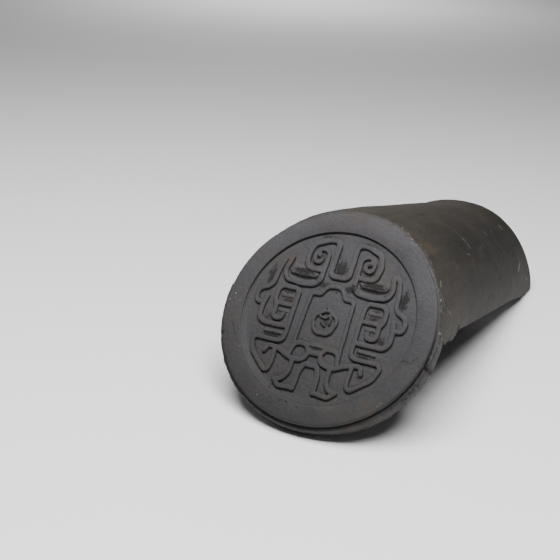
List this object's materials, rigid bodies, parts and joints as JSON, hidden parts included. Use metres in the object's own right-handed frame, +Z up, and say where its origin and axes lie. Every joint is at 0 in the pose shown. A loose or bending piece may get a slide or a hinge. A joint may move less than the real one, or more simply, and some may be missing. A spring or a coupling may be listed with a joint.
{
  "type": "roof tile",
  "caption": "Eave roof tile of grey fired clay: a half-round barrel closed at the front by a leaning round end with a raised-line beast mask in a sunk field.",
  "frame": {"origin": "under the middle of the tile's outline, on the surface it stands on", "axes": "+Z up; the barrel runs along +Y and drops towards its tail; the carved end faces -Y and upwards; +X to the right seen from the carved end"},
  "size_m": [0.1598, 0.3532, 0.1274],
  "materials": {
    "grey_clay": "matt unglazed grey clay, a little browner on the barrel"
  },
  "bodies": {
    "root": {"eave_tile": "grey_clay"}
  },
  "joints": []
}
